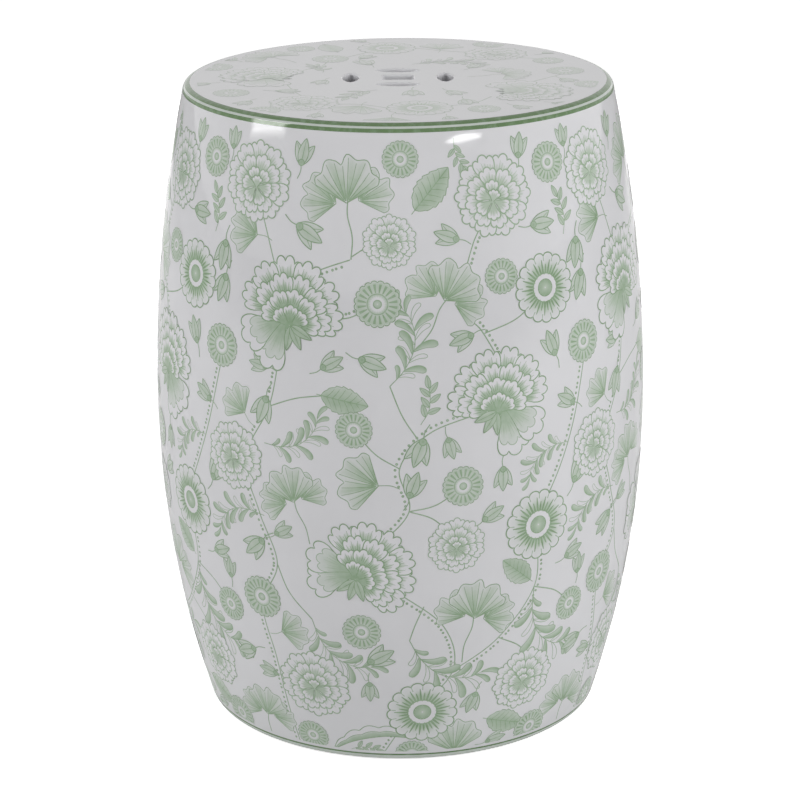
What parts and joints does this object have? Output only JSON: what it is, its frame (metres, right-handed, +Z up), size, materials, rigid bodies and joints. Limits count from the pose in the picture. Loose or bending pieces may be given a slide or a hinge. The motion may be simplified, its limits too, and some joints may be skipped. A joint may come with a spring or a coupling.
{
  "type": "garden stool",
  "caption": "Barrel-shaped glazed ceramic garden stool: flat seat pierced with finger holes, banded shoulder, printed flower pattern, hollow body open below.",
  "frame": {"origin": "centre of the foot on the floor", "axes": "+Z up along the barrel's axis; -Y is the side that the picture shows, with +X to its right"},
  "size_m": [0.3445, 0.3446, 0.45],
  "materials": {
    "glaze": "clear gloss glaze over white clay with a green printed pattern",
    "felt": "pressed wool felt"
  },
  "bodies": {
    "root": {"barrel_wall": "glaze", "seat_slab": "glaze", "foot_ring": "glaze", "floor_pad_1": "felt", "floor_pad_2": "felt", "floor_pad_3": "felt", "floor_pad_4": "felt"}
  },
  "joints": []
}
